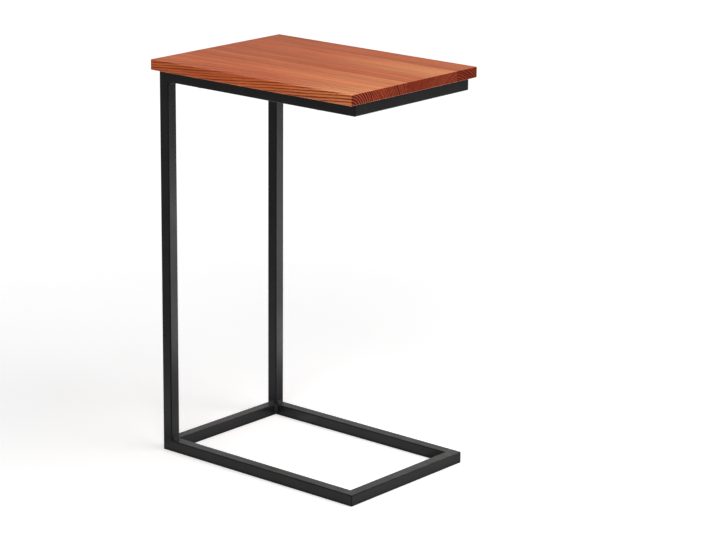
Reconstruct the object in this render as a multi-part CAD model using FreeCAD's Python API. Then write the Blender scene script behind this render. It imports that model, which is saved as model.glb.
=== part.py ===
"""C shaped side table: an edge-glued wooden top on a welded frame of square steel tube.

Millimetres, +Z up. The origin is on the floor below the middle of the top. The two uprights
stand at the back, towards -X, and the table is open at the front, towards +X. Left is -Y and
right is +Y, as seen from the open front.
"""
import FreeCAD
import Part
import os

# ---- Tabletop -------------------------------------------------------------------------------
TOP_LENGTH = 440.0             # along the grain, back to front
TOP_WIDTH = 320.0
TOP_THICKNESS = 18.0
INNER_STAVES = (84.0, 53.0, 76.0)   # widths of the three inner staves, left to right
ARRIS_RADIUS = 1.0             # sanded edges of the glued-up panel

# ---- Steel underframe -----------------------------------------------------------------------
UNDERFRAME_HEIGHT = 672.0      # floor to the underside of the top
END_OVERHANG = 5.0             # top past the underframe at the back and at the front
SIDE_OVERHANG = 15.0           # top past the underframe at each side
TUBE = 20.0                    # outer side of the square tube
TUBE_WALL = 1.5
TUBE_CORNER = 2.0              # outer corner radius of the drawn tube
TUBE_INNER_CORNER = 0.5
GROUND_CORNER = 2.0            # radius left where an outside weld is ground flush

# ---- Fillet welds in the inside corners -----------------------------------------------------
WELD_LEG = 5.0
WELD_HOLLOW = 0.6              # how far the weld's face dips below a flat one
WELD_END = 1.2                 # slope at the two ends of a weld, where it tails off

# ---- Screws that hold the top, driven up through the top rails ------------------------------
SCREW_DIAMETER = 4.0
SCREW_BITE = 12.0              # length of screw in the wood
SCREW_POINT = 5.0              # length of the sharp point
SCREW_HEAD_DIAMETER = 8.0
SCREW_HEAD_HEIGHT = 2.6
SCREW_HEAD_RIM = 1.1           # straight rim of the pan head
SCREW_HEAD_CROWN = 5.2         # diameter of the flat on top of the pan head
SCREW_SPACING = 260.0          # between the two screws of a side rail
SCREW_HOLE_CLEARANCE = 0.25    # radial, in the tube walls
PILOT_CLEARANCE = 0.05         # radial, in the wood
PILOT_EXTRA_DEPTH = 1.0        # pilot hole past the screw's tip

# ---- Worked out from the sizes above --------------------------------------------------------
FRAME_LENGTH = TOP_LENGTH - 2 * END_OVERHANG
FRAME_WIDTH = TOP_WIDTH - 2 * SIDE_OVERHANG
BACK = -FRAME_LENGTH / 2       # outer faces of the underframe
FRONT = FRAME_LENGTH / 2
SIDE = FRAME_WIDTH / 2
HALF_TUBE = TUBE / 2
NEAR = 0.01                    # two places closer than this are the same

X = FreeCAD.Vector(1, 0, 0)
Y = FreeCAD.Vector(0, 1, 0)
Z = FreeCAD.Vector(0, 0, 1)
SIDES = {"left": -1, "right": 1}
LEVELS = {"base": HALF_TUBE, "top": UNDERFRAME_HEIGHT - HALF_TUBE}   # height of each tube's axis


def point(x, y, z):
    return FreeCAD.Vector(x, y, z)


# ---- Square tube ----------------------------------------------------------------------------
def rounded_square(side, radius):
    """A face in the XY plane, centred on the origin."""
    half = side / 2
    flat = half - radius
    bulge = flat + radius * 0.5 ** 0.5
    edges = []
    for quarter in range(4):
        turn = FreeCAD.Rotation(Z, 90 * quarter)
        next_turn = FreeCAD.Rotation(Z, 90 * (quarter + 1))
        start = turn.multVec(point(half, flat, 0))
        middle = turn.multVec(point(bulge, bulge, 0))
        end = turn.multVec(point(flat, half, 0))
        edges.append(Part.Arc(start, middle, end).toShape())
        edges.append(Part.LineSegment(end, next_turn.multVec(point(half, flat, 0))).toShape())
    return Part.Face(Part.Wire(edges))


def square_tube(start, end):
    """A hollow tube whose axis runs from start to end, both ends cut square."""
    run = end - start
    outside = rounded_square(TUBE, TUBE_CORNER)
    inside = rounded_square(TUBE - 2 * TUBE_WALL, TUBE_INNER_CORNER)
    tube = outside.cut(inside).extrude(Z * run.Length)
    tube.Placement = FreeCAD.Placement(start, FreeCAD.Rotation(Z, run))
    return tube


def saw(tube, corner, waste):
    """Cut away what lies past the plane through corner, on the side that waste points to."""
    block = 4 * TUBE
    cutter = Part.makeBox(block, block, block, point(-block / 2, -block / 2, 0))
    cutter.Placement = FreeCAD.Placement(corner, FreeCAD.Rotation(Z, waste))
    return tube.cut(cutter)


def ground_envelope():
    """The underframe's outer block, rounded along the outside mitre lines that are ground."""
    block = Part.makeBox(FRAME_LENGTH, FRAME_WIDTH, UNDERFRAME_HEIGHT, point(BACK, -SIDE, 0))
    ground = []
    for edge in block.Edges:
        middle = edge.BoundBox.Center
        at_front = abs(middle.x - FRONT) < NEAR
        at_back = abs(middle.x - BACK) < NEAR
        upright_edge = edge.BoundBox.ZLength > UNDERFRAME_HEIGHT - NEAR
        cross_edge = edge.BoundBox.YLength > FRAME_WIDTH - NEAR
        if (at_front and upright_edge) or (at_back and cross_edge):
            ground.append(edge)
    return block.makeFillet(GROUND_CORNER, ground)


# ---- Underframe -----------------------------------------------------------------------------
def upright(side):
    """Full height, mitred into the side rails at the foot and at the head."""
    y = side * (SIDE - HALF_TUBE)
    x = BACK + HALF_TUBE
    tube = square_tube(point(x, y, 0), point(x, y, UNDERFRAME_HEIGHT))
    tube = saw(tube, point(BACK, y, 0), X - Z)
    return saw(tube, point(BACK, y, UNDERFRAME_HEIGHT), X + Z)


def side_rail(side, level):
    """Mitred up into the upright at the back and sideways into the front crossbar."""
    y = side * (SIDE - HALF_TUBE)
    z = LEVELS[level]
    rise = 1 if level == "base" else -1
    tube = square_tube(point(BACK, y, z), point(FRONT, y, z))
    tube = saw(tube, point(BACK, y, z - rise * HALF_TUBE), Z * rise - X)
    return saw(tube, point(FRONT, side * SIDE, z), X - Y * side)


def front_crossbar(level):
    z = LEVELS[level]
    x = FRONT - HALF_TUBE
    tube = square_tube(point(x, -SIDE, z), point(x, SIDE, z))
    for side in SIDES.values():
        tube = saw(tube, point(FRONT, side * SIDE, z), Y * side - X)
    return tube


def back_crossbar(level):
    """Butted between the inner faces of the two side frames."""
    x = BACK + HALF_TUBE
    y = SIDE - TUBE
    return square_tube(point(x, -y, LEVELS[level]), point(x, y, LEVELS[level]))


# ---- Welds ----------------------------------------------------------------------------------
def fillet_weld(start, end, leg_a, leg_b):
    """A hollow-faced weld in the inside corner from start to end, with a leg on each face."""
    run = end - start
    reach_a = start + leg_a * WELD_LEG
    reach_b = start + leg_b * WELD_LEG
    towards_root = (leg_a + leg_b).normalize() * -WELD_HOLLOW
    face_middle = (reach_a + reach_b) * 0.5 + towards_root
    outline = Part.Wire([
        Part.LineSegment(start, reach_a).toShape(),
        Part.Arc(reach_a, face_middle, reach_b).toShape(),
        Part.LineSegment(reach_b, start).toShape(),
    ])
    weld = Part.Face(outline).extrude(run)
    ends = [edge for edge in weld.Edges if edge.Curve.TypeId == "Part::GeomCircle"]
    return weld.makeChamfer(WELD_END, ends)


def flush_weld(start, end, into_a, into_b):
    """Fills the groove beside a tube's rounded edge, ground level with the faces around it."""
    reach_a = start + into_a * TUBE_CORNER
    reach_b = start + into_b * TUBE_CORNER
    towards_root = (into_a + into_b).normalize()
    groove_middle = start + towards_root * (TUBE_CORNER * (2 ** 0.5 - 1))
    outline = Part.Wire([
        Part.LineSegment(start, reach_a).toShape(),
        Part.Arc(reach_a, groove_middle, reach_b).toShape(),
        Part.LineSegment(reach_b, start).toShape(),
    ])
    return Part.Face(outline).extrude(end - start)


def across_tube(middle, direction):
    """The two ends of a line on a tube's face that stops where the face begins to round."""
    flat = HALF_TUBE - TUBE_CORNER
    return middle - direction * flat, middle + direction * flat


def inside_of_frame(level):
    """The way from a level's tubes into the open space of the C."""
    return Z if level == "base" else -Z


def back_fillets(level):
    """At each upright: on the side rail, on the crossbar, and between those two tubes."""
    z = LEVELS[level]
    open_way = inside_of_frame(level)
    open_z = z + open_way.z * HALF_TUBE
    inner_x = BACK + TUBE
    welds = []
    for side in SIDES.values():
        inner_y = side * (SIDE - TUBE)
        inwards = Y * -side
        on_rail = across_tube(point(inner_x, side * (SIDE - HALF_TUBE), open_z), Y)
        on_crossbar = across_tube(point(BACK + HALF_TUBE, inner_y, open_z), X)
        between = across_tube(point(inner_x, inner_y, z), Z)
        welds.append(fillet_weld(*on_rail, X, open_way))
        welds.append(fillet_weld(*on_crossbar, inwards, open_way))
        welds.append(fillet_weld(*between, X, inwards))
    return Part.makeCompound(welds)


def crossbar_flush_welds(level):
    """Outside the back crossbar's two ends: up its back face, and along its floor or wood side."""
    z = LEVELS[level]
    open_way = inside_of_frame(level)
    closed_z = z - open_way.z * HALF_TUBE
    welds = []
    for side in SIDES.values():
        inner_y = side * (SIDE - TUBE)
        behind = across_tube(point(BACK, inner_y, z), Z)
        outside = across_tube(point(BACK + HALF_TUBE, inner_y, closed_z), X)
        welds.append(flush_weld(*behind, X, Y * side))
        welds.append(flush_weld(*outside, open_way, Y * side))
    return Part.makeCompound(welds)


def front_fillets(level):
    """One fillet up the inside of each mitred corner."""
    welds = []
    for side in SIDES.values():
        corner = point(FRONT - TUBE, side * (SIDE - TUBE), LEVELS[level])
        welds.append(fillet_weld(*across_tube(corner, Z), -X, Y * -side))
    return Part.makeCompound(welds)


# ---- Screws and their holes -----------------------------------------------------------------
def screw_places():
    """Where the screws' axes meet the underside of the top rails."""
    z = UNDERFRAME_HEIGHT - TUBE
    places = []
    for side in SIDES.values():
        for end in (-1, 1):
            places.append(point(end * SCREW_SPACING / 2, side * (SIDE - HALF_TUBE), z))
    for end in (BACK + HALF_TUBE, FRONT - HALF_TUBE):
        places.append(point(end, 0, z))
    return places


def wood_screw():
    """Pan head below the XY plane, shank and point above it."""
    head = SCREW_HEAD_DIAMETER / 2
    shank = SCREW_DIAMETER / 2
    length = TUBE + SCREW_BITE
    crown = SCREW_HEAD_CROWN / 2
    outline = [
        point(0, 0, -SCREW_HEAD_HEIGHT),
        point(crown, 0, -SCREW_HEAD_HEIGHT),
        point(head, 0, -SCREW_HEAD_RIM),
        point(head, 0, 0),
        point(shank, 0, 0),
        point(shank, 0, length - SCREW_POINT),
        point(0, 0, length),
        point(0, 0, -SCREW_HEAD_HEIGHT),
    ]
    half_section = Part.Face(Part.makePolygon(outline))
    return half_section.revolve(point(0, 0, 0), Z, 360)


def top_screws():
    screws = []
    for place in screw_places():
        screw = wood_screw()
        screw.translate(place)
        screws.append(screw)
    return Part.makeCompound(screws)


def round_holes(radius, depth):
    """Upward holes from the underside of the top rails, one for each screw."""
    holes = []
    for place in screw_places():
        holes.append(Part.makeCylinder(radius, depth, place, Z))
    return Part.makeCompound(holes)


# ---- Tabletop -------------------------------------------------------------------------------
def panel():
    low = point(-TOP_LENGTH / 2, -TOP_WIDTH / 2, UNDERFRAME_HEIGHT)
    block = Part.makeBox(TOP_LENGTH, TOP_WIDTH, TOP_THICKNESS, low)
    sanded = block.makeFillet(ARRIS_RADIUS, block.Edges)
    pilot = SCREW_DIAMETER / 2 + PILOT_CLEARANCE
    depth = TUBE + SCREW_BITE + PILOT_EXTRA_DEPTH
    return sanded.cut(round_holes(pilot, depth))


def stave_edges():
    """The glue lines and the two outer edges, left to right."""
    left = -sum(INNER_STAVES) / 2
    edges = [-TOP_WIDTH / 2, left]
    for width in INNER_STAVES:
        edges.append(edges[-1] + width)
    edges.append(TOP_WIDTH / 2)
    return edges


def staves():
    """The panel, parted along its glue lines."""
    whole = panel()
    edges = stave_edges()
    parts = []
    for left, right in zip(edges, edges[1:]):
        low = point(-TOP_LENGTH / 2, left, UNDERFRAME_HEIGHT)
        slot = Part.makeBox(TOP_LENGTH, right - left, TOP_THICKNESS, low)
        parts.append(whole.common(slot))
    return parts


# ---- Assembly -------------------------------------------------------------------------------
def underframe():
    tubes = {}
    for name, side in SIDES.items():
        tubes["upright_" + name] = upright(side)
    for level in LEVELS:
        for name, side in SIDES.items():
            tubes[level + "_rail_" + name] = side_rail(side, level)
        tubes[level + "_crossbar_front"] = front_crossbar(level)
        tubes[level + "_crossbar_back"] = back_crossbar(level)
    envelope = ground_envelope()
    screw_holes = round_holes(SCREW_DIAMETER / 2 + SCREW_HOLE_CLEARANCE, TUBE)
    for name, tube in tubes.items():
        tube = tube.common(envelope)
        if name.startswith("top_"):
            tube = tube.cut(screw_holes)
        tubes[name] = tube
    return tubes


def all_nodes():
    nodes = underframe()
    for level in LEVELS:
        nodes["fillet_welds_" + level + "_back"] = back_fillets(level)
        nodes["fillet_welds_" + level + "_front"] = front_fillets(level)
        nodes["flush_welds_" + level] = crossbar_flush_welds(level)
    nodes["top_screws"] = top_screws()
    for number, stave in enumerate(staves(), 1):
        nodes["top_stave_" + str(number)] = stave
    return nodes


def as_solids(shape):
    """One clean solid, or a compound of separate ones."""
    solids = [solid.removeSplitter() for solid in shape.Solids]
    if len(solids) == 1:
        return solids[0]
    return Part.makeCompound(solids)


os.makedirs("parts", exist_ok=True)
for node, shape in all_nodes().items():
    part = as_solids(shape)
    part.exportStep("parts/" + node + ".step")
    print(node, len(part.Solids), "valid" if part.isValid() else "NOT VALID", round(part.Volume, 1))
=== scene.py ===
"""C shaped side table: a stained, edge-glued wooden top on a welded frame of square steel tube.

The CAD model is the fixed frame. Its staves and tubes are finished here with their materials, and
its fillet welds and screws are made again with the ripples, recesses and threads that the real
ones have. Lengths are metres. The uprights stand at -X, and the open side of the C is at +X.
"""

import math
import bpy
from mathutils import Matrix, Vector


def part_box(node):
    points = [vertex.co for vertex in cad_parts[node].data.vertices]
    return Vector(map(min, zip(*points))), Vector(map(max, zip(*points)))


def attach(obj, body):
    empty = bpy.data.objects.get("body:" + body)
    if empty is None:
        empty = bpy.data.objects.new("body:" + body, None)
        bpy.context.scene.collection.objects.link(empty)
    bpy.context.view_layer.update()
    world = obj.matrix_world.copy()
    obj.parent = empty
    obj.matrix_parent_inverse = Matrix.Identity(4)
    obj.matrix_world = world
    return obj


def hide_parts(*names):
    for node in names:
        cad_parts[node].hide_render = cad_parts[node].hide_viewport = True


bl_info = {
    "name": "C Shaped Side Table",
    "version": (1, 0, 0),
    "blender": (4, 5, 0),
    "location": "3D View > Sidebar > Side Table",
    "description": "Finishes a C shaped side table: stained wood, powder coat, welds and screws",
    "category": "Object",
}

import bpy
from mathutils import Matrix, Quaternion, Vector

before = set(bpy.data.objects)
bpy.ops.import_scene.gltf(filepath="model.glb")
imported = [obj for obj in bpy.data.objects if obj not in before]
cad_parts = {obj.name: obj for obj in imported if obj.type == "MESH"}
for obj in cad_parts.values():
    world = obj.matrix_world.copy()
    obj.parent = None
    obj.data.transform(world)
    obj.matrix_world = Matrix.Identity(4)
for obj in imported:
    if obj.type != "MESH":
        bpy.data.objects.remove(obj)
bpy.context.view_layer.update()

MM = 0.001
X = Vector((1, 0, 0))
Y = Vector((0, 1, 0))
Z = Vector((0, 0, 1))
BODY = "root"

TUBES = sorted(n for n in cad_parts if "rail" in n or "crossbar" in n or n.startswith("upright"))
FLUSH_WELDS = sorted(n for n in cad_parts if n.startswith("flush_welds"))
STAVES = sorted(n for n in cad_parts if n.startswith("top_stave"))


# ---- Settings -------------------------------------------------------------------------------
def length(name, description, default, largest=1.0):
    """A size in metres."""
    return bpy.props.FloatProperty(
        name=name, description=description, default=default,
        min=0.0, max=largest, unit="LENGTH", precision=5,
    )


def share(name, description, default):
    """A number from 0 to 1."""
    return bpy.props.FloatProperty(
        name=name, description=description, default=default, min=0.0, max=1.0, subtype="FACTOR"
    )


def colour(name, description, default):
    """A colour, as linear red, green and blue."""
    return bpy.props.FloatVectorProperty(
        name=name, description=description, default=default, min=0.0, max=1.0, size=3, subtype="COLOR"
    )


class WoodSettings(bpy.types.PropertyGroup):
    early_wood: colour(
        "Early wood", "Stained colour of the pale part of a growth ring", (0.64, 0.144, 0.044)
    )
    late_wood: colour(
        "Late wood", "Stained colour of the dark part of a growth ring", (0.15, 0.018, 0.007)
    )
    # Painted light: the lighter, yellower colour that the wood is mixed towards at the open end.
    painted_light_tint: colour(
        "Pale wood", "Colour where the stain took least, at the open end", (0.94, 0.395, 0.150)
    )
    # Painted highlight: the pale colour of the lower arris, where it catches the light from the floor.
    arris_highlight_tint: colour(
        "Arris highlight", "Colour of the lower arris, which was sanded after staining", (0.66, 0.36, 0.26)
    )
    end_grain: colour("End grain", "How the stain darkens wood that is cut across", (0.51, 0.275, 0.33))
    ring_width: length("Ring width", "Mean distance between growth rings", 3.0 * MM)
    lacquer: share("Lacquer roughness", "Roughness of the satin lacquer", 0.52)


class CoatSettings(bpy.types.PropertyGroup):
    tint: colour("Powder coat", "Colour of the black coat", (0.0068, 0.0068, 0.0071))
    roughness: share("Roughness", "Roughness of the cured coat", 0.34)
    peel_size: length("Peel size", "Size of the coat's orange-peel cells", 1.3 * MM)
    peel_depth: length("Peel depth", "Height of the orange peel", 0.012 * MM)
    dust: share("Dust", "How much fine dust lies on faces that look up", 0.35)


class WeldSettings(bpy.types.PropertyGroup):
    ripple_pitch: length("Ripple pitch", "Distance between the ripples of a weld", 1.35 * MM)
    ripple_height: length("Ripple height", "Height of a ripple", 0.32 * MM)
    hollow: length("Hollow", "How far the weld's face dips below a flat one", 0.55 * MM)


class ScrewSettings(bpy.types.PropertyGroup):
    recess_width: length("Recess width", "Width across the cross recess", 4.4 * MM)
    recess_depth: length("Recess depth", "Depth of the cross recess", 1.5 * MM)
    thread_pitch: length("Thread pitch", "Distance between turns of the thread", 1.6 * MM)
    thread_depth: length("Thread depth", "Height of the thread over its core", 0.55 * MM)
    steel: colour("Screw steel", "Colour of the black zinc plating", (0.30, 0.29, 0.28))


class StageSettings(bpy.types.PropertyGroup):
    floor: colour("Floor", "Colour of the studio floor", (0.86, 0.86, 0.86))
    floor_size: length("Floor size", "Side of the square floor", 40.0, 100.0)
    glow_near: share("Glow near", "What the floor adds to itself in the render near the table", 0.46)
    glow_far: share("Glow far", "What the floor adds to itself in the render far away", 0.80)
    ambient: share("Ambient light", "Strength of the even light from all round", 0.27)


# ---- Wiring of node trees -------------------------------------------------------------------
def fill(tree, node, inputs):
    """Fill a node's inputs, each from a value or from another node's output."""
    for key, value in inputs.items():
        socket = node.inputs[key]
        if isinstance(value, bpy.types.NodeSocket):
            tree.links.new(value, socket)
        else:
            socket.default_value = value


def add_node(tree, kind, inputs=None, **settings):
    """A node with its settings made and its inputs filled."""
    node = tree.nodes.new(kind)
    for name, value in settings.items():
        setattr(node, name, value)
    fill(tree, node, inputs or {})
    return node


def calc(tree, operation, *values, clamp=False):
    """The output of a Math node."""
    return add_node(
        tree, "ShaderNodeMath", dict(enumerate(values)), operation=operation, use_clamp=clamp
    ).outputs[0]


def times(tree, *values):
    """The product of two or more numbers."""
    product = values[0]
    for value in values[1:]:
        product = calc(tree, "MULTIPLY", product, value)
    return product


def vector_calc(tree, operation, *values):
    """The vector output of a Vector Math node."""
    return add_node(
        tree, "ShaderNodeVectorMath", dict(enumerate(values)), operation=operation
    ).outputs["Vector"]


def scaled(tree, vector, factor):
    """Vector times a number."""
    node = add_node(tree, "ShaderNodeVectorMath", {0: vector, "Scale": factor}, operation="SCALE")
    return node.outputs["Vector"]


def drawn_out(tree, point, rates):
    """Point times a pattern's features in a metre along each axis."""
    return vector_calc(tree, "MULTIPLY", point, rates)


def size_of(tree, vector):
    """How long a vector is."""
    return add_node(tree, "ShaderNodeVectorMath", {0: vector}, operation="LENGTH").outputs["Value"]


def parts_of(tree, vector):
    """The X, Y and Z of a vector."""
    return add_node(tree, "ShaderNodeSeparateXYZ", {0: vector}).outputs


def own_normal(tree):
    """Where the surface looks, along the piece's own axes."""
    return add_node(tree, "ShaderNodeTexCoord").outputs["Normal"]


def ramp(tree, value, low, high, to_low=0.0, to_high=1.0):
    """Value eased from one range to another, and held beyond its ends."""
    places = {"Value": value, "From Min": low, "From Max": high, "To Min": to_low, "To Max": to_high}
    return add_node(tree, "ShaderNodeMapRange", places, interpolation_type="SMOOTHSTEP").outputs["Result"]


def noise(tree, point, detail, roughness, kind="Fac"):
    """Noise whose features are about one unit of point apart."""
    places = {"Vector": point, "Scale": 1.0, "Detail": detail, "Roughness": roughness}
    return add_node(tree, "ShaderNodeTexNoise", places).outputs[kind]


def noise_over_years(tree, years, rate, roughness):
    """Noise along one axis, with about rate features in a year."""
    places = {"W": years, "Scale": rate, "Detail": 1.0, "Roughness": roughness}
    return add_node(tree, "ShaderNodeTexNoise", places, noise_dimensions="1D").outputs["Fac"]


def mix_colour(tree, share_of_b, a, b, blend="MIX"):
    """Colour a with its share of colour b mixed or multiplied in."""
    node = add_node(tree, "ShaderNodeMix", data_type="RGBA", blend_type=blend, clamp_factor=True)
    places = {socket.identifier: place for place, socket in enumerate(node.inputs)}
    fill(tree, node, {places["Factor_Float"]: share_of_b, places["A_Color"]: a, places["B_Color"]: b})
    return next(socket for socket in node.outputs if socket.identifier == "Result_Color")


def rgba(tint, lightness=1.0):
    """A tint as the four numbers that a colour socket takes."""
    return (tint[0] * lightness, tint[1] * lightness, tint[2] * lightness, 1.0)


def new_group(name, kind, inputs, outputs):
    """A node group with named sockets: its tree, what it is given and the node that it fills."""
    tree = bpy.data.node_groups.new(name, kind)
    for in_out, sockets in (("INPUT", inputs), ("OUTPUT", outputs)):
        for label, form in sockets.items():
            tree.interface.new_socket(label, in_out=in_out, socket_type="NodeSocket" + form)
    source = tree.nodes.new("NodeGroupInput")
    sink = tree.nodes.new("NodeGroupOutput")
    return tree, source.outputs, sink


def use_group(tree, group, inputs):
    """The outputs of a group that is placed in a material with its own values."""
    return add_node(tree, "ShaderNodeGroup", inputs, node_tree=group).outputs


def blank_tree(owner):
    """The empty node tree of a new material or world."""
    owner.use_nodes = True
    owner.node_tree.nodes.clear()
    return owner.node_tree


# ---- Effects shared by the materials --------------------------------------------------------
# Rates are features in a metre, along X, Y and Z. Ranges run from where an effect starts in its noise
# to where it is full.

# The seasons, as shares of a year's growth. Early wood fades through spring, late wood darkens through
# summer and autumn by the shares given, and winter ends it.
SPRING = (0.05, 0.40)
SUMMER = (0.20, 0.80)
AUTUMN = (0.68, 0.88)
WINTER = (0.95, 1.0)
SUMMER_SHARE = 0.4
AUTUMN_SHARE = 0.6
# The late wood of the faintest year, and what the strongest has on top of that.
FAINTEST_YEAR = 0.35
YEAR_SPREAD = 0.75
# How often the ring width and the colour of the wood change, in features a year.
WIDTH_CHANGES = 0.30
COLOUR_CHANGES = 0.12
COLOUR_RANGE = (0.32, 0.68)
WANDER_RATES = (3.0, 14.0, 14.0)


def growth_rings():
    """Rings round a pith that runs along X: seen as lines on a face and as arcs on an end."""
    tree, given, result = new_group(
        "Growth rings",
        "ShaderNodeTree",
        {"Point": "Vector", "Pith": "Vector", "Lean": "Vector", "Ring width": "Float", "Waviness": "Float",
         "Unevenness": "Float"},
        {"Late wood": "Float", "Early wood": "Float", "Growth": "Float"},
    )
    along = parts_of(tree, given["Point"])["X"]
    wander = noise(tree, drawn_out(tree, given["Point"], WANDER_RATES), 2.0, 0.5, "Color")
    wave = vector_calc(tree, "SUBTRACT", wander, (0.5, 0.5, 0.5))
    from_pith = vector_calc(tree, "SUBTRACT", given["Point"], given["Pith"])
    from_axis = vector_calc(tree, "SUBTRACT", from_pith, scaled(tree, given["Lean"], along))
    wandering = vector_calc(tree, "ADD", from_axis, scaled(tree, wave, given["Waviness"]))
    radius = size_of(tree, vector_calc(tree, "MULTIPLY", wandering, (0.0, 1.0, 1.0)))
    even = calc(tree, "DIVIDE", radius, given["Ring width"])
    width_change = noise_over_years(tree, even, WIDTH_CHANGES, 0.5)
    rings = calc(tree, "ADD", even, times(tree, width_change, given["Unevenness"]))
    through_year = calc(tree, "FRACT", rings)
    year = calc(tree, "FLOOR", rings)
    autumn = times(tree, ramp(tree, through_year, *AUTUMN), AUTUMN_SHARE)
    darkening = calc(tree, "MULTIPLY_ADD", ramp(tree, through_year, *SUMMER), SUMMER_SHARE, autumn)
    cut_off = ramp(tree, through_year, *WINTER, 1.0, 0.0)
    weather = add_node(tree, "ShaderNodeTexWhiteNoise", {"W": year}, noise_dimensions="1D")
    strength = calc(tree, "MULTIPLY_ADD", weather.outputs["Value"], YEAR_SPREAD, FAINTEST_YEAR)
    fill(tree, result, {
        "Late wood": times(tree, darkening, cut_off, strength),
        "Early wood": ramp(tree, through_year, *SPRING, 1.0, 0.0),
        "Growth": ramp(tree, noise_over_years(tree, even, COLOUR_CHANGES, 0.6), *COLOUR_RANGE),
    })
    return tree


STREAK_RATES = (9.0, 330.0, 330.0)
STREAK_RANGE = (0.32, 0.68)
PORE_RATES = (75.0, 1500.0, 1500.0)
PORE_RANGE = (0.58, 0.70)
MOTTLE_RATES = (7.0, 22.0, 22.0)
MOTTLE_RANGE = (0.30, 0.70)
# How far the fibre of one seed lies from that of the next.
SEED_STEP = (0.31, 0.17, 0.23)


def wood_fibre():
    """Streaks and open pores drawn out along X, which show as specks on an end."""
    tree, given, result = new_group(
        "Wood fibre",
        "ShaderNodeTree",
        {"Point": "Vector", "Seed": "Float"},
        {"Streak": "Float", "Pores": "Float", "Mottle": "Float"},
    )
    shifted = vector_calc(tree, "ADD", given["Point"], scaled(tree, SEED_STEP, given["Seed"]))
    streaks = noise(tree, drawn_out(tree, shifted, STREAK_RATES), 4.0, 0.62)
    pores = noise(tree, drawn_out(tree, shifted, PORE_RATES), 1.0, 0.5)
    mottle = noise(tree, drawn_out(tree, shifted, MOTTLE_RATES), 3.0, 0.5)
    fill(tree, result, {
        "Streak": ramp(tree, streaks, *STREAK_RANGE),
        "Pores": ramp(tree, pores, *PORE_RANGE),
        "Mottle": ramp(tree, mottle, *MOTTLE_RANGE),
    })
    return tree


# How far the normal has turned away from an axis where an edge starts.
EDGE_START = 0.01


def rounded_edge():
    """1 on a piece's rounded edges, where its surface looks along no axis, and 0 on its faces."""
    tree, given, result = new_group(
        "Rounded edge", "ShaderNodeTree", {"Softness": "Float"}, {"Mask": "Float"}
    )
    parts = parts_of(tree, vector_calc(tree, "ABSOLUTE", own_normal(tree)))
    steepest = calc(tree, "MAXIMUM", calc(tree, "MAXIMUM", parts["X"], parts["Y"]), parts["Z"])
    turned = calc(tree, "SUBTRACT", 1.0, steepest)
    fill(tree, result, {"Mask": ramp(tree, turned, EDGE_START, given["Softness"])})
    return tree


DUST_RATES = (38.0, 38.0, 38.0)
DUST_RANGE = (0.30, 0.75)
# What is left on the barest patch, and how far a face has to look up for dust to lie on it.
DUST_LEFT = 0.35
LOOKS_UP = (0.55, 0.98)


def settled_dust():
    """Fine dust on what looks up, thinner where a hand has passed."""
    tree, given, result = new_group(
        "Settled dust", "ShaderNodeTree", {"Point": "Vector", "Amount": "Float"}, {"Mask": "Float"}
    )
    level = ramp(tree, parts_of(tree, own_normal(tree))["Z"], *LOOKS_UP)
    patches = noise(tree, drawn_out(tree, given["Point"], DUST_RATES), 5.0, 0.6)
    lying = times(tree, level, ramp(tree, patches, *DUST_RANGE, DUST_LEFT, 1.0))
    fill(tree, result, {"Mask": times(tree, lying, given["Amount"])})
    return tree


# The grit in the peel: how many of its cells one cell of peel is wide, and its height beside the peel's.
GRIT_IN_PEEL = 5.0
GRIT_SHARE = 0.35
SHEEN_RATES = (26.0, 26.0, 26.0)
SHEEN_RANGE = (0.3, 0.7)


def coat_skin():
    """Orange peel and fine grit of a cured powder coat, as a height in metres and a tone."""
    tree, given, result = new_group(
        "Coat skin",
        "ShaderNodeTree",
        {"Point": "Vector", "Peel size": "Float", "Peel depth": "Float"},
        {"Height": "Float", "Tone": "Float"},
    )
    cell = calc(tree, "DIVIDE", 1.0, given["Peel size"])
    peel = noise(tree, scaled(tree, given["Point"], cell), 2.0, 0.5)
    grit = noise(tree, scaled(tree, given["Point"], times(tree, cell, GRIT_IN_PEEL)), 1.0, 0.5)
    both = calc(tree, "MULTIPLY_ADD", grit, GRIT_SHARE, peel)
    sheen = noise(tree, drawn_out(tree, given["Point"], SHEEN_RATES), 4.0, 0.6)
    fill(tree, result, {
        "Height": times(tree, both, given["Peel depth"]),
        "Tone": ramp(tree, sheen, *SHEEN_RANGE),
    })
    return tree


EFFECT_MAKERS = {
    "rings": growth_rings,
    "fibre": wood_fibre,
    "edge": rounded_edge,
    "dust": settled_dust,
    "skin": coat_skin,
}
effects = {}


def effect(name):
    """The node group of that effect, made the first time that it is asked for."""
    if name not in effects:
        effects[name] = EFFECT_MAKERS[name]()
    return effects[name]


# ---- Materials ------------------------------------------------------------------------------
# How far the normal has turned away from an axis where an edge counts in full.
EDGE_SOFTNESS = 0.2


def new_material(name):
    """An empty material: its tree, its Principled BSDF and the piece's own coordinates."""
    material = bpy.data.materials.new(name)
    tree = blank_tree(material)
    shader = add_node(tree, "ShaderNodeBsdfPrincipled")
    add_node(tree, "ShaderNodeOutputMaterial", {"Surface": shader.outputs["BSDF"]})
    point = add_node(tree, "ShaderNodeTexCoord").outputs["Object"]
    return material, tree, shader, point


def bumped(tree, height):
    """The normal of a surface with that height in metres."""
    return add_node(
        tree, "ShaderNodeBump", {"Height": height, "Strength": 1.0, "Distance": 1.0}
    ).outputs["Normal"]
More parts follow.
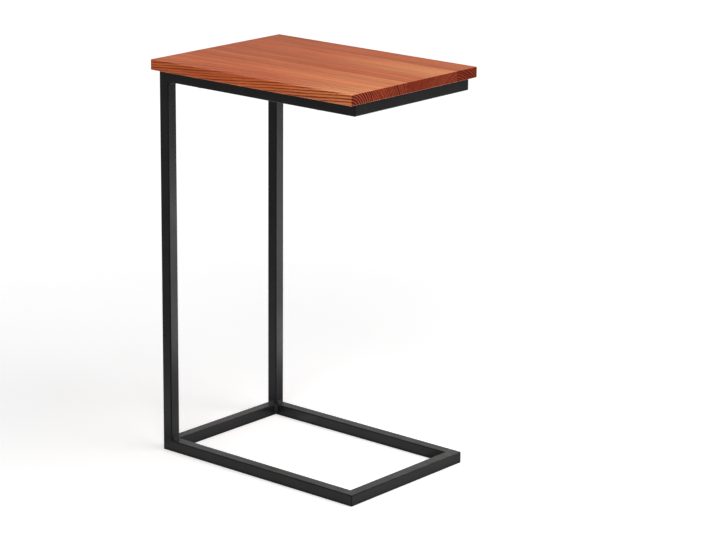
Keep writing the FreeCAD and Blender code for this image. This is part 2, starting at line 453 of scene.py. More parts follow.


# The grain of each stave:
# pith, the middle of the tree, across and up from the middle of the stave, and the pith's lean across
# and up for each metre along the stave;
# rings, the ring width as a share of the usual one, and how uneven that width is;
# lines, how strongly the late wood shows, and the tone of the whole stave;
# pale, how strongly painted light lightens and yellows the wood towards the open end, and where between
# the middle and that end it starts;
# seed, which fibre and pores the stave has.
STAVE_GRAIN = {
    "top_stave_1": {
        "pith": (-0.034, -0.045), "lean": (0.010, 0.085), "rings": 1.5, "uneven": 0.7,
        "lines": 1.75, "tone": 1.17, "pale": 0.84, "pale from": 0.0, "seed": 1.0,
    },
    "top_stave_2": {
        "pith": (-0.095, -0.050), "lean": (0.012, 0.010), "rings": 1.1, "uneven": 1.6,
        "lines": 0.8, "tone": 1.06, "pale": 0.40, "pale from": -0.5, "seed": 2.0,
    },
    "top_stave_3": {
        "pith": (0.080, -0.030), "lean": (-0.014, 0.006), "rings": 1.0, "uneven": 1.6,
        "lines": 0.6, "tone": 0.93, "pale": 0.04, "pale from": -0.5, "seed": 3.0,
    },
    "top_stave_4": {
        "pith": (0.060, -0.066), "lean": (0.010, -0.020), "rings": 1.1, "uneven": 1.6,
        "lines": 0.7, "tone": 0.97, "pale": 0.56, "pale from": -0.4, "seed": 4.0,
    },
    "top_stave_5": {
        "pith": (-0.055, -0.095), "lean": (0.014, 0.008), "rings": 1.4, "uneven": 0.7,
        "lines": 1.2, "tone": 0.86, "pale": 0.04, "pale from": -0.5, "seed": 5.0,
    },
}

# Colours that the settings leave out: mottles, pores and the dark rings on an end.
MOTTLE_TINT = (0.62, 0.20, 0.060)
PORE_TINT = (0.15, 0.026, 0.010)
END_LINE_TINT = (0.03, 0.004, 0.002)
# How much of the normal lies along Z or X where a face starts to count as level or as an end, and
# where it counts in full.
LEVEL = (0.3, 0.9)
END = (0.55, 0.9)
# Strength of the ring lines on a level face, on an upright face along the grain, and on an end.
TOP_LINES = 0.45
SIDE_LINES = 1.0
END_LINES = 2.2
# Their strength at the middle of the table and at its open end, and what is left between two streaks.
LINES_ALONG = (0.85, 1.5)
BROKEN_LINES = 0.65
# How strong the late wood on an end is where its dark line starts and where it is full, and how much
# of the dark colour that line gets.
DARK_ON_END = (0.08, 0.45)
END_LINE_SHARE = 0.85
# How much of their colour streaks, mottles and slow changes of growth lay over the early wood.
STREAK_SHARE = 0.20
MOTTLE_SHARE = 0.25
GROWTH_SHARE = 0.30
# Shares of the pores that show in late and in early wood.
PORES_BY_SEASON = (0.25, 0.75)
# The painted light on an upright face where a level one gets 1, and where it is full if the open end is
# at 1.
PAINTED_LIGHT_ON_SIDES = 0.55
PAINTED_LIGHT_FULL_AT = 1.1
# How strong the painted highlight on the lower arris is, and how far a face looks down to belong to it.
ARRIS_HIGHLIGHT_SHARE = 0.8
BELOW = (-0.9, -0.1)
# The lacquer is rougher along the streaks and on the ends.
STREAK_ROUGHNESS = 0.10
END_ROUGHNESS = 0.2
WOOD_SPECULAR = 0.05
RING_WAVINESS = 7.0 * MM
LATE_WOOD_RISE = 0.02 * MM
PORE_DEPTH = 0.06 * MM


def stained_wood(node, settings):
    """Stained and lacquered wood with the grain of one stave."""
    grain = STAVE_GRAIN[node]
    low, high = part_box(node)
    middle = (low + high) / 2
    material, tree, shader, point = new_material("stained wood " + node)
    rings = use_group(tree, effect("rings"), {
        "Point": point,
        "Pith": (0.0, middle.y + grain["pith"][0], middle.z + grain["pith"][1]),
        "Lean": (0.0, *grain["lean"]),
        "Ring width": settings.ring_width * grain["rings"],
        "Waviness": RING_WAVINESS,
        "Unevenness": grain["uneven"],
    })
    fibre = use_group(tree, effect("fibre"), {"Point": point, "Seed": grain["seed"]})
    edge = use_group(tree, effect("edge"), {"Softness": EDGE_SOFTNESS})["Mask"]
    facing = parts_of(tree, own_normal(tree))
    on_end = ramp(tree, calc(tree, "ABSOLUTE", facing["X"]), *END)
    levelness = calc(tree, "ABSOLUTE", facing["Z"])
    along = parts_of(tree, point)["X"]

    early_wood = mix_colour(
        tree, times(tree, fibre["Mottle"], MOTTLE_SHARE), rgba(settings.early_wood), rgba(MOTTLE_TINT)
    )
    # Painted light, stronger on the top than on the sides: the wood grows lighter and yellower towards the
    # open end.
    painted_light_share = times(tree, ramp(tree, levelness, *LEVEL, PAINTED_LIGHT_ON_SIDES, 1.0), grain["pale"])
    painted_light_along = ramp(tree, along, high.x * grain["pale from"], high.x * PAINTED_LIGHT_FULL_AT)
    painted_lit_wood = mix_colour(tree, times(tree, painted_light_along, painted_light_share), early_wood, rgba(settings.painted_light_tint))
    slow_growth = times(tree, rings["Growth"], GROWTH_SHARE)
    grown = mix_colour(tree, slow_growth, painted_lit_wood, rgba(settings.late_wood))

    lengthwise = ramp(tree, levelness, *LEVEL, SIDE_LINES, TOP_LINES)
    clearness = ramp(tree, on_end, 0.0, 1.0, lengthwise, END_LINES)
    strength = times(tree, ramp(tree, along, 0.0, high.x, *LINES_ALONG), grain["lines"])
    streaky = ramp(tree, fibre["Streak"], 0.0, 1.0, BROKEN_LINES, 1.0)
    lined = times(tree, rings["Late wood"], strength, streaky, clearness)
    late = calc(tree, "MULTIPLY_ADD", fibre["Streak"], STREAK_SHARE, lined)
    wood = mix_colour(tree, late, grown, rgba(settings.late_wood))
    pores = times(tree, fibre["Pores"], ramp(tree, rings["Early wood"], 0.0, 1.0, *PORES_BY_SEASON))
    porous = mix_colour(tree, pores, wood, rgba(PORE_TINT))
    toned = mix_colour(tree, 1.0, porous, rgba((1.0, 1.0, 1.0), grain["tone"]), "MULTIPLY")

    soaked = mix_colour(tree, 1.0, toned, rgba(settings.end_grain), "MULTIPLY")
    end_lines = ramp(tree, rings["Late wood"], *DARK_ON_END, 0.0, END_LINE_SHARE)
    end = mix_colour(tree, end_lines, soaked, rgba(END_LINE_TINT))
    ended = mix_colour(tree, on_end, toned, end)
    # Painted highlight on the lower arris, where it catches the light from the floor.
    below = ramp(tree, facing["Z"], *BELOW, 1.0, 0.0)
    arris_highlighted = mix_colour(tree, times(tree, edge, below, ARRIS_HIGHLIGHT_SHARE), ended, rgba(settings.arris_highlight_tint))

    lacquer = settings.lacquer - STREAK_ROUGHNESS / 2
    gloss = calc(tree, "MULTIPLY_ADD", fibre["Streak"], STREAK_ROUGHNESS, lacquer)
    sunk = times(tree, pores, -PORE_DEPTH)
    fill(tree, shader, {
        "Base Color": arris_highlighted,
        "Roughness": calc(tree, "MULTIPLY_ADD", on_end, END_ROUGHNESS, gloss),
        "Normal": bumped(tree, calc(tree, "MULTIPLY_ADD", rings["Late wood"], LATE_WOOD_RISE, sunk)),
        "Specular IOR Level": WOOD_SPECULAR,
    })
    return material


# The coat: how light its darkest and lightest patches are and its painted shade, the colour of dust, and
# the roughness that patches and dust add.
COAT_PATCHES = (0.8, 1.25)
COAT_SHADED = 0.15
DUST_TINT = (0.42, 0.41, 0.39)
PATCH_ROUGHNESS = (-0.03, 0.04)
DUST_ROUGHNESS = 0.15
COAT_SPECULAR = 0.08
# How it lies: the depth of its skin, how much painted shade darkens flat faces and rounded edges, and how
# much of the dust shows. A weld's belly looks along no axis, as an edge does, and its toes count as faces,
# so on the tubes the rounded edges get the painted shade, and on a weld the toes where it meets the
# tubes. On the welds the larger dust share is partly dust and partly a painted highlight on the belly.
ON_TUBES = {"skin_depth": 1.0, "face_shade": 0.0, "edge_shade": 0.9, "dust_and_highlight_share": 0.31}
ON_WELDS = {"skin_depth": 1.6, "face_shade": 0.95, "edge_shade": 0.0, "dust_and_highlight_share": 0.75}


def powder_coat(name, settings, skin_depth, face_shade, edge_shade, dust_and_highlight_share):
    """Satin black powder coat with painted shade on faces or on edges, and dusty where it looks up."""
    material, tree, shader, point = new_material(name)
    skin = use_group(tree, effect("skin"), {
        "Point": point,
        "Peel size": settings.peel_size,
        "Peel depth": settings.peel_depth * skin_depth,
    })
    edge = use_group(tree, effect("edge"), {"Softness": EDGE_SOFTNESS})["Mask"]
    dust = use_group(tree, effect("dust"), {"Point": point, "Amount": settings.dust})["Mask"]
    dark, light = (rgba(settings.tint, lightness) for lightness in COAT_PATCHES)
    body = mix_colour(tree, skin["Tone"], dark, light)
    # Painted shade: darker rounded edges on the tubes, and darker toes where a weld meets the tubes.
    shade = ramp(tree, edge, 0.0, 1.0, face_shade, edge_shade)
    shaded = mix_colour(tree, shade, body, rgba(settings.tint, COAT_SHADED))
    least, most = PATCH_ROUGHNESS
    gloss = calc(tree, "MULTIPLY_ADD", skin["Tone"], most - least, settings.roughness + least)
    fill(tree, shader, {
        # Dust on what looks up, which on the welds is partly a painted highlight on the belly.
        "Base Color": mix_colour(tree, times(tree, dust, dust_and_highlight_share), shaded, rgba(DUST_TINT)),
        "Roughness": calc(tree, "MULTIPLY_ADD", dust, DUST_ROUGHNESS, gloss),
        "Normal": bumped(tree, skin["Height"]),
        "Specular IOR Level": COAT_SPECULAR,
    })
    return material


# The plating of the screws: rubbed spots in a metre, the range in which they show, how much of the
# tint they get, and how light the rest is beside it.
RUB_RATE = 900.0
RUBBED = (0.52, 0.78)
RUB_SHARE = 0.6
PLATED = 0.3
PLATED_ROUGHNESS = 0.42
RUB_POLISH = 0.12
RUB_DEPTH = 0.01 * MM
PLATED_METALLIC = 0.85


def black_zinc(settings):
    """Black zinc on a steel screw, rubbed bright in spots where the driver turned."""
    material, tree, shader, point = new_material("black zinc")
    rub = noise(tree, scaled(tree, point, RUB_RATE), 3.0, 0.6)
    rubbed = ramp(tree, rub, *RUBBED, 0.0, RUB_SHARE)
    fill(tree, shader, {
        "Base Color": mix_colour(tree, rubbed, rgba(settings.steel, PLATED), rgba(settings.steel)),
        "Roughness": calc(tree, "MULTIPLY_ADD", rubbed, -RUB_POLISH, PLATED_ROUGHNESS),
        "Normal": bumped(tree, times(tree, rub, RUB_DEPTH)),
        "Metallic": PLATED_METALLIC,
    })
    return material


def finish_node(node, material):
    """Give a CAD node that stays in view its material."""
    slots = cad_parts[node].data.materials
    slots.clear()
    slots.append(material)


# ---- Pieces made by Geometry Nodes ----------------------------------------------------------
def points_with_turns(name, places):
    """An object with one vertex per place, each carrying the turn that its copy gets."""
    mesh = bpy.data.meshes.new(name)
    mesh.from_pydata([where for where, turn in places], [], [])
    turns = mesh.attributes.new("turn", "FLOAT_VECTOR", "POINT")
    for entry, (where, turn) in zip(turns.data, places):
        entry.vector = turn.to_euler()
    thing = bpy.data.objects.new(name, mesh)
    bpy.context.scene.collection.objects.link(thing)
    return thing


def named_vector(tree, name):
    """A vector that the points carry."""
    read = add_node(tree, "GeometryNodeInputNamedAttribute", {"Name": name}, data_type="FLOAT_VECTOR")
    return read.outputs["Attribute"]


def copies_on_points(tree, points, shape, material):
    """Shape set on each point with its turn, made real and given its material."""
    rotation = add_node(tree, "FunctionNodeEulerToRotation", {0: named_vector(tree, "turn")}).outputs[0]
    copies = add_node(
        tree, "GeometryNodeInstanceOnPoints", {"Points": points, "Instance": shape, "Rotation": rotation}
    ).outputs["Instances"]
    real = add_node(tree, "GeometryNodeRealizeInstances", {0: copies}).outputs[0]
    return add_node(tree, "GeometryNodeSetMaterial", {"Geometry": real, "Material": material}).outputs[0]


def made_real(thing, tree, inputs, nodes):
    """The mesh that a tree makes of thing, as a plain piece that stands for those CAD nodes."""
    modifier = thing.modifiers.new("make", "NODES")
    modifier.node_group = tree
    sockets = {s.name: s.identifier for s in tree.interface.items_tree if s.in_out == "INPUT"}
    for label, value in inputs.items():
        modifier[sockets[label]] = value
    bpy.context.view_layer.update()
    shaped = thing.evaluated_get(bpy.context.evaluated_depsgraph_get())
    mesh = bpy.data.meshes.new_from_object(shaped)
    thing.modifiers.remove(modifier)
    thing.data = mesh
    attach(thing, BODY)
    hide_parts(*nodes)
    return thing


# ---- Welds ----------------------------------------------------------------------------------
WELD_ROWS_ALONG = 109
WELD_ROWS_ACROSS = 17
# How many ripples the middle of a ripple runs ahead of its two ends.
RIPPLE_BOW = 0.9
# How many legs from its end a weld has its full size.
CRATER_LEGS = 0.8
MERGE_DISTANCE = 0.01 * MM


def turn_onto(along, leg_a, leg_b):
    """The turn that lays a weld's length on along and its legs on leg_a and leg_b."""
    if along.cross(leg_a).dot(leg_b) < 0:
        leg_a, leg_b = leg_b, leg_a
    return Matrix((along, leg_a, leg_b)).transposed()


def rippled_weld():
    """A fillet weld along X in the corner of the XY and XZ planes, copied to each point.

    It is a grid fanned out round X. Its first and last rows and its two ends shrink onto the corner,
    which closes it.
    """
    tree, given, result = new_group(
        "Rippled weld",
        "GeometryNodeTree",
        {"Points": "Geometry", "Length": "Float", "Leg": "Float", "Hollow": "Float",
         "Ripple pitch": "Float", "Ripple height": "Float", "Material": "Material"},
        {"Geometry": "Geometry"},
    )
    grid = add_node(
        tree, "GeometryNodeMeshGrid", {"Vertices X": WELD_ROWS_ALONG, "Vertices Y": WELD_ROWS_ACROSS}
    ).outputs
    stored = add_node(
        tree, "GeometryNodeStoreNamedAttribute",
        {"Geometry": grid["Mesh"], "Name": "place", "Value": grid["UV Map"]},
        data_type="FLOAT_VECTOR", domain="POINT",
    ).outputs["Geometry"]
    place = parts_of(tree, named_vector(tree, "place"))
    u, v = place["X"], place["Y"]
    row = 1.0 / (WELD_ROWS_ACROSS - 1)
    angle = add_node(tree, "ShaderNodeMapRange", {
        "Value": v, "From Min": row, "From Max": 1 - row, "To Min": 0.0, "To Max": math.pi / 2,
    }).outputs["Result"]
    cosine = calc(tree, "COSINE", angle)
    sine = calc(tree, "SINE", angle)
    belly = calc(tree, "SINE", times(tree, angle, 2.0))
    x = times(tree, calc(tree, "SUBTRACT", u, 0.5), given["Length"])

    flat = calc(tree, "DIVIDE", given["Leg"], calc(tree, "ADD", cosine, sine))
    hollowed = calc(tree, "SUBTRACT", flat, times(tree, belly, given["Hollow"]))
    ripples_along = calc(tree, "DIVIDE", x, given["Ripple pitch"])
    phase = calc(tree, "ADD", ripples_along, times(tree, belly, RIPPLE_BOW))
    ripple = calc(tree, "ABSOLUTE", calc(tree, "SINE", times(tree, phase, math.pi)))
    raised = times(tree, ripple, given["Ripple height"], belly)

    nearer_end = calc(tree, "MINIMUM", u, calc(tree, "SUBTRACT", 1.0, u))
    crater_length = times(tree, given["Leg"], CRATER_LEGS)
    crater = calc(tree, "DIVIDE", times(tree, nearer_end, given["Length"]), crater_length, clamp=True)
    short = calc(tree, "SUBTRACT", 1.0, crater)
    tail = calc(tree, "SQRT", calc(tree, "SUBTRACT", 1.0, times(tree, short, short)))
    full = times(tree, calc(tree, "ADD", hollowed, raised), tail)
    inner_row = calc(tree, "COMPARE", v, 0.5, 0.5 - row / 2)
    inner_end = calc(tree, "COMPARE", u, 0.5, 0.5 - 0.5 / (WELD_ROWS_ALONG - 1))
    reach = times(tree, full, times(tree, inner_row, inner_end))

    position = add_node(tree, "ShaderNodeCombineXYZ", {
        "X": x, "Y": times(tree, reach, cosine), "Z": times(tree, reach, sine),
    }).outputs[0]
    bead = add_node(tree, "GeometryNodeSetPosition", {"Geometry": stored, "Position": position}).outputs[0]
    closed = add_node(
        tree, "GeometryNodeMergeByDistance", {"Geometry": bead, "Distance": MERGE_DISTANCE}
    ).outputs[0]
    smooth = add_node(
        tree, "GeometryNodeSetShadeSmooth", {"Geometry": closed, "Shade Smooth": True}
    ).outputs[0]
    fill(tree, result, {"Geometry": copies_on_points(tree, given["Points"], smooth, given["Material"])})
    return tree


def back_corners(level):
    """The three fillets at the foot or the head of each upright, as (place, turn)."""
    low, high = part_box(level + "_crossbar_back")
    rail_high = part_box(level + "_rail_right")[1]
    tube = high.z - low.z
    open_way = Z if level == "base" else -Z
    open_z = high.z if level == "base" else low.z
    places = []
    for side in (-1, 1):
        inner_y = side * high.y
        outer_y = side * rail_high.y
        inwards = Y * -side
        places.append((Vector((high.x, (inner_y + outer_y) / 2, open_z)), turn_onto(Y, X, open_way)))
        places.append((Vector((high.x - tube / 2, inner_y, open_z)), turn_onto(X, inwards, open_way)))
        places.append((Vector((high.x, inner_y, (low.z + high.z) / 2)), turn_onto(Z, X, inwards)))
    return places


def front_corners(level):
    """The fillet in each inside corner at the open end, as (place, turn)."""
    low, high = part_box(level + "_crossbar_front")
    inner_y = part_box(level + "_crossbar_back")[1].y
    places = []
    for side in (-1, 1):
        corner = Vector((low.x, side * inner_y, (low.z + high.z) / 2))
        places.append((corner, turn_onto(Z, -X, Y * -side)))
    return places


# ---- Screws ---------------------------------------------------------------------------------
STEPS_AROUND = 96
HEAD_ROWS = 32
THREAD_ROWS = 84
POINT_ROWS = 12
# The head: a dome on a short upright rim, which turns in just above the seat. These are shares of the
# head's height, of the rim's height and of the rim's radius.
RIM_SHARE = 0.4
RIM_TURN = 0.12
SEAT_SHARE = 0.97
DOME_POWER = 2.4
# Half the thickness of a wing of the recess, as a share of its reach, and the part that slopes.
WING_WIDTH = 0.2
WING_SLOPE = 0.3
THREAD_CREST = 2.0 * MM
THREAD_START = 10.0 * MM
THREAD_RUN_IN = 2.0 * MM
# Half the foot of the thread's ridge, as a share of its pitch.
RIDGE_SHARE = 0.28
POINT_LENGTH = 5.0 * MM
SHARP_ANGLE = math.radians(35)
# Each screw stopped at another turn, in radians. A cell is too small to hold two screws.
TURN_STEP = 0.7
SCREW_CELL = 50.0 * MM


def angles_round():
    """The turns of the points in one ring."""
    return [2 * math.pi * step / STEPS_AROUND for step in range(STEPS_AROUND)]


def recess(radius, angle, settings):
    """Depth of the cross recess: four wings that slope to a point."""
    across, upward = abs(radius * math.cos(angle)), abs(radius * math.sin(angle))
    from_wing = min(across, upward)
    reach = max(across, upward)
    half = settings.recess_width / 2
    wing = half * WING_WIDTH
    sides = min(1.0, max(0.0, (wing - from_wing) / (wing * WING_SLOPE)))
    return settings.recess_depth * sides * max(0.0, 1 - reach / half) ** 0.5


def thread_radius(height, angle, settings):
    """The shank's radius: plain near the seat, and a sharp helical thread above."""
    phase = (height / settings.thread_pitch - angle / (2 * math.pi)) % 1.0
    ridge = max(0.0, 1 - abs(phase - 0.5) / RIDGE_SHARE)
    start = min(1.0, max(0.0, (height - THREAD_START) / THREAD_RUN_IN))
    core = THREAD_CREST - settings.thread_depth
    return core + (THREAD_CREST - core) * (ridge * start)


def threaded_ring(height, narrowing, settings):
    """One ring of the shank, as (radius, height) all round."""
    return [(thread_radius(height, angle, settings) * narrowing, height) for angle in angles_round()]


def pan_head_screw(settings):
    """One screw, head down and point up, with its seat at the origin."""
    low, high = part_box("top_screws")
    rail_low, rail_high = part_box("top_rail_left")
    row_offset = abs(rail_low.y + rail_high.y) / 2
    rim_radius = high.y - row_offset
    head_height = rail_low.z - low.z
    rim_height = head_height * RIM_SHARE
    shank_length = high.z - rail_low.z
    threaded = shank_length - POINT_LENGTH
    rings = []
    for step in range(1, HEAD_ROWS + 1):
        radius = rim_radius * step / HEAD_ROWS
        dome = head_height - (head_height - rim_height) * (radius / rim_radius) ** DOME_POWER
        rings.append([(radius, recess(radius, angle, settings) - dome) for angle in angles_round()])
    rings.append([(rim_radius, -rim_height * RIM_TURN)] * STEPS_AROUND)
    rings.append([(rim_radius * SEAT_SHARE, 0.0)] * STEPS_AROUND)
    rings.append([(THREAD_CREST - settings.thread_depth, 0.0)] * STEPS_AROUND)
    for step in range(1, THREAD_ROWS):
        rings.append(threaded_ring(threaded * step / THREAD_ROWS, 1.0, settings))
    for step in range(POINT_ROWS):
        height = threaded + POINT_LENGTH * step / POINT_ROWS
        rings.append(threaded_ring(height, 1 - step / POINT_ROWS, settings))
    return lathe("pan_head_screw", rings, settings.recess_depth - head_height, shank_length)


def lathe(name, rings, first_height, last_height):
    """A closed mesh of rings, each a list of (radius, height), between two points on the axis."""
    points = [(0.0, 0.0, first_height)]
    for ring in rings:
        for angle, (radius, height) in zip(angles_round(), ring):
            points.append((radius * math.cos(angle), radius * math.sin(angle), height))
    points.append((0.0, 0.0, last_height))
    last = len(points) - 1
    last_ring = last - STEPS_AROUND
    faces = []
    for step in range(STEPS_AROUND):
        after = (step + 1) % STEPS_AROUND
        faces.append((0, 1 + after, 1 + step))
        for base in range(1, last_ring, STEPS_AROUND):
            above = base + STEPS_AROUND
            faces.append((base + step, base + after, above + after, above + step))
        faces.append((last_ring + step, last_ring + after, last))
    mesh = bpy.data.meshes.new(name)
    mesh.from_pydata(points, [], faces)
    mesh.polygons.foreach_set("use_smooth", [True] * len(faces))
    mesh.set_sharp_from_angle(angle=SHARP_ANGLE)
    thing = bpy.data.objects.new(name, mesh)
    bpy.context.scene.collection.objects.link(thing)
    return thing


def driven_screws():
    """Copies of a screw on each point."""
    tree, given, result = new_group(
        "Driven screws",
        "GeometryNodeTree",
        {"Points": "Geometry", "Screw": "Object", "Material": "Material"},
        {"Geometry": "Geometry"},
    )
    screw = add_node(tree, "GeometryNodeObjectInfo", {"Object": given["Screw"]}).outputs["Geometry"]
    fill(tree, result, {"Geometry": copies_on_points(tree, given["Points"], screw, given["Material"])})
    return tree


def screw_places():
    """The seats of the screws, read from the separate solids of the CAD node, as (place, turn)."""
    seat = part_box("top_rail_left")[0].z
    found = {}
    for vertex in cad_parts["top_screws"].data.vertices:
        key = (round(vertex.co.x / SCREW_CELL), round(vertex.co.y / SCREW_CELL))
        found.setdefault(key, []).append(vertex.co.copy())
    places = []
    for number, group in enumerate(found.values()):
        x = (min(p.x for p in group) + max(p.x for p in group)) / 2
        y = (min(p.y for p in group) + max(p.y for p in group)) / 2
        places.append((Vector((x, y, seat)), Matrix.Rotation(TURN_STEP * number, 3, "Z")))
    return places


# ---- Stage ----------------------------------------------------------------------------------
CAMERA_AIM = Vector((0.0612, 0.0480, 0.3349))
CAMERA_AZIMUTH = math.radians(40.15)
CAMERA_ELEVATION = math.radians(15.46)
CAMERA_ROLL = math.radians(0.54)
CAMERA_DISTANCE = 4.410
CAMERA_LENS = 130.83
CAMERA_CLIP_END = 100.0
FLOOR_GAP = 0.3 * MM
# How far from the middle the floor's glow starts to change, and where it has changed.
GLOW_REACH = (0.4, 2.6)

# Each lamp: where it hangs, what it looks at, its width and height, and its power. Panels and strips
# lie on the floor and look up.
LAMPS = {
    "top softbox": {
        "place": (1.05, 0.3, 1.75), "aim": (0.0, 0.0, 0.5), "size": (1.3, 1.3), "power": 18.4,
    },
    "front softbox": {
        "place": (1.5, -2.3, 1.2), "aim": (0.0, 0.0, 0.35), "size": (1.6, 1.6), "power": 21.7,
    },
    "high softbox": {
        "place": (1.3, -2.0, 2.6), "aim": (0.0, 0.0, 0.5), "size": (1.4, 1.4), "power": 17.4,
    },
    "high reflector": {
        "place": (0.06, 0.42, 0.45), "aim": (-0.195, 0.13, 0.55), "size": (0.14, 0.12), "power": 0.24,
    },
    "middle reflector": {
        "place": (0.08, 0.42, 0.27), "aim": (-0.195, 0.13, 0.36), "size": (0.14, 0.24), "power": 0.58,
    },
    "side reflector": {
        "place": (0.33, 0.42, 0.22), "aim": (-0.195, -0.13, 0.40), "size": (0.16, 0.12), "power": 1.0,
    },
    "open side panel": {"place": (0.50, 0.80, 0.002), "size": (0.50, 0.50), "power": 0.95},
    "right foot panel": {"place": (0.22, 0.42, 0.002), "size": (0.40, 0.34), "power": 5.0},
    "inner panel": {"place": (0.0, 0.02, 0.002), "size": (0.30, 0.20), "power": 0.25},
    "left panel": {"place": (-0.53, -0.18, 0.002), "size": (0.50, 0.50), "power": 1.13},
    "near strip": {"place": (0.0, -0.185, 0.002), "size": (0.46, 0.07), "power": 0.10},
    "front strip": {"place": (0.26, 0.0, 0.002), "size": (0.08, 0.32), "power": 0.064},
    "back strip": {"place": (-0.155, 0.0, 0.002), "size": (0.07, 0.24), "power": 0.045},
}
# Lamps that light nothing and only show in the gloss of what they face.
REFLECTORS = ("high reflector", "middle reflector", "side reflector")


def shown_background(tree):
    """1 for rays that see the background: straight from the camera, or by way of gloss or glass."""
    path = add_node(tree, "ShaderNodeLightPath").outputs
    mirrored = calc(tree, "MAXIMUM", path["Is Glossy Ray"], path["Is Transmission Ray"])
    return calc(tree, "MAXIMUM", path["Is Camera Ray"], mirrored)


def studio_floor(settings):
    """Pale matt floor that keeps the table's shadow, is white in the render and clear from below."""
    material = bpy.data.materials.new("studio floor")
    tree = blank_tree(material)
    paint = add_node(tree, "ShaderNodeBsdfDiffuse", {"Color": rgba(settings.floor)}).outputs[0]
    away = size_of(tree, add_node(tree, "ShaderNodeTexCoord").outputs["Object"])
    glow = ramp(tree, away, *GLOW_REACH, settings.glow_near, settings.glow_far)
    shine = add_node(
        tree, "ShaderNodeEmission", {"Strength": times(tree, shown_background(tree), glow)}
    ).outputs[0]
    both = add_node(tree, "ShaderNodeAddShader", {0: paint, 1: shine}).outputs[0]
    below = add_node(tree, "ShaderNodeNewGeometry").outputs["Backfacing"]
    clear = add_node(tree, "ShaderNodeBsdfTransparent").outputs[0]
    seen = add_node(tree, "ShaderNodeMixShader", {0: below, 1: both, 2: clear}).outputs[0]
    add_node(tree, "ShaderNodeOutputMaterial", {"Surface": seen})
    return material


def lay_floor(settings):
    """A square floor, a hair lower than the rails so that the two never share a plane."""
    half = settings.floor_size / 2
    corners = [(-half, -half), (half, -half), (half, half), (-half, half)]
    mesh = bpy.data.meshes.new("floor")
    mesh.from_pydata([(x, y, -FLOOR_GAP) for x, y in corners], [], [(0, 1, 2, 3)])
    mesh.materials.append(studio_floor(settings))
    floor = bpy.data.objects.new("floor", mesh)
    bpy.context.scene.collection.objects.link(floor)


def hang_lamp(name, facts):
    """An area lamp that the camera doesn't see."""
    light = bpy.data.lights.new(name, "AREA")
    light.shape = "RECTANGLE"
    light.size, light.size_y = facts["size"]
    light.energy = facts["power"]
    lamp = bpy.data.objects.new(name, light)
    lamp.location = facts["place"]
    look = Vector(facts["aim"]) - Vector(facts["place"]) if "aim" in facts else Z
    lamp.rotation_euler = look.to_track_quat("-Z", "Y").to_euler()
    lamp.visible_camera = False
    lamp.visible_diffuse = name not in REFLECTORS
    bpy.context.scene.collection.objects.link(lamp)


def surround(ambient):
    """Even light from all round, seen as white."""
    world = bpy.data.worlds.new("studio")
    tree = blank_tree(world)
    strength = add_node(tree, "ShaderNodeMapRange", {
        "Value": shown_background(tree), "To Min": ambient, "To Max": 1.0,
    }).outputs["Result"]
    light = add_node(tree, "ShaderNodeBackground", {"Color": (1, 1, 1, 1), "Strength": strength})
    add_node(tree, "ShaderNodeOutputWorld", {"Surface": light.outputs[0]})
    bpy.context.scene.world = world


def place_camera():
    """A long lens at eye height, beyond the near corner of the open end."""
    back = Vector((
        math.sin(CAMERA_AZIMUTH) * math.cos(CAMERA_ELEVATION),
        -math.cos(CAMERA_AZIMUTH) * math.cos(CAMERA_ELEVATION),
        math.sin(CAMERA_ELEVATION),
    ))
    lens = bpy.data.cameras.new("camera")
    lens.lens = CAMERA_LENS
    lens.clip_end = CAMERA_CLIP_END
    camera = bpy.data.objects.new("camera", lens)
    camera.location = CAMERA_AIM + back * CAMERA_DISTANCE
    camera.rotation_mode = "QUATERNION"
    camera.rotation_quaternion = (-back).to_track_quat("-Z", "Y") @ Quaternion(Z, CAMERA_ROLL)
    bpy.context.scene.collection.objects.link(camera)
    bpy.context.scene.camera = camera


# ---- Operators ------------------------------------------------------------------------------
class SIDETABLE_OT_stain_staves(bpy.types.Operator):
    """Stain and lacquer each stave of the top, with its own grain"""

    bl_idname = "side_table.stain_staves"
    bl_label = "Stain the staves"

    def execute(self, context):
        for node in STAVES:
            finish_node(node, stained_wood(node, context.scene.table_wood))
        return {"FINISHED"}


class SIDETABLE_OT_coat_frame(bpy.types.Operator):
    """Powder coat the tubes and the welds that are ground flush"""

    bl_idname = "side_table.coat_frame"
    bl_label = "Coat the frame"

    def execute(self, context):
        coat = powder_coat("powder coat", context.scene.table_coat, **ON_TUBES)
        for node in TUBES + FLUSH_WELDS:
            finish_node(node, coat)
        return {"FINISHED"}


class SIDETABLE_OT_run_welds(bpy.types.Operator):
    """Run the rippled fillet welds in the inside corners"""

    bl_idname = "side_table.run_welds"
    bl_label = "Run the welds"

    def execute(self, context):
        settings = context.scene.table_weld
        tree = rippled_weld()
        low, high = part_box("fillet_welds_base_front")
        sizes = {
            "Length": high.z - low.z,
            "Leg": high.x - low.x,
            "Hollow": settings.hollow,
            "Ripple pitch": settings.ripple_pitch,
            "Ripple height": settings.ripple_height,
            "Material": powder_coat("coated weld", context.scene.table_coat, **ON_WELDS),
        }
        for level in ("base", "top"):
            for end, corners in (("back", back_corners), ("front", front_corners)):
                points = points_with_turns("rippled_welds_" + level + "_" + end, corners(level))
                made_real(points, tree, sizes, ["fillet_welds_" + level + "_" + end])
        return {"FINISHED"}


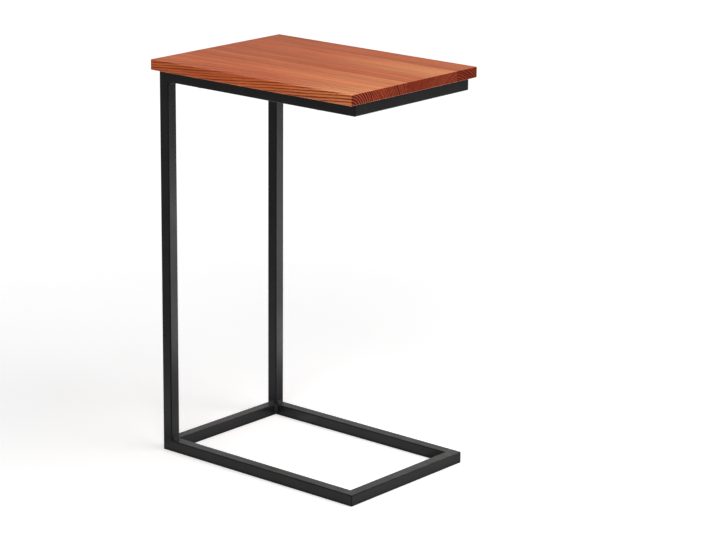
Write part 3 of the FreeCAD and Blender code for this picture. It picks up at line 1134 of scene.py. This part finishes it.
class SIDETABLE_OT_drive_screws(bpy.types.Operator):
    """Drive the screws that hold the top, with their recesses and threads"""

    bl_idname = "side_table.drive_screws"
    bl_label = "Drive the screws"

    def execute(self, context):
        settings = context.scene.table_screw
        screw = pan_head_screw(settings)
        points = points_with_turns("driven_screws", screw_places())
        inputs = {"Screw": screw, "Material": black_zinc(settings)}
        made_real(points, driven_screws(), inputs, ["top_screws"])
        bpy.data.objects.remove(screw)
        return {"FINISHED"}


class SIDETABLE_OT_set_stage(bpy.types.Operator):
    """Lay the floor, hang the lamps and place the camera"""

    bl_idname = "side_table.set_stage"
    bl_label = "Set the stage"

    def execute(self, context):
        settings = context.scene.table_stage
        lay_floor(settings)
        for name, facts in LAMPS.items():
            hang_lamp(name, facts)
        surround(settings.ambient)
        place_camera()
        context.scene.view_settings.view_transform = "Standard"
        return {"FINISHED"}


# ---- Panel and registration -----------------------------------------------------------------
STEPS = (
    ("table_wood", WoodSettings, SIDETABLE_OT_stain_staves),
    ("table_coat", CoatSettings, SIDETABLE_OT_coat_frame),
    ("table_weld", WeldSettings, SIDETABLE_OT_run_welds),
    ("table_screw", ScrewSettings, SIDETABLE_OT_drive_screws),
    ("table_stage", StageSettings, SIDETABLE_OT_set_stage),
)


class SIDETABLE_PT_workshop(bpy.types.Panel):
    """Sizes and colours of the table's finishes, with a button for each step"""

    bl_idname = "SIDETABLE_PT_workshop"
    bl_label = "Side Table"
    bl_space_type = "VIEW_3D"
    bl_region_type = "UI"
    bl_category = "Side Table"

    def draw(self, context):
        for pointer, group, step in STEPS:
            box = self.layout.box()
            settings = getattr(context.scene, pointer)
            for name in group.__annotations__:
                box.prop(settings, name)
            box.operator(step.bl_idname)


def register():
    for pointer, group, step in STEPS:
        bpy.utils.register_class(group)
        bpy.utils.register_class(step)
        setattr(bpy.types.Scene, pointer, bpy.props.PointerProperty(type=group))
    bpy.utils.register_class(SIDETABLE_PT_workshop)


def unregister():
    bpy.utils.unregister_class(SIDETABLE_PT_workshop)
    for pointer, group, step in reversed(STEPS):
        delattr(bpy.types.Scene, pointer)
        bpy.utils.unregister_class(step)
        bpy.utils.unregister_class(group)


def main():
    register()
    bpy.ops.side_table.set_stage()
    bpy.ops.side_table.stain_staves()
    bpy.ops.side_table.coat_frame()
    bpy.ops.side_table.run_welds()
    bpy.ops.side_table.drive_screws()


if __name__ == "__main__":
    main()
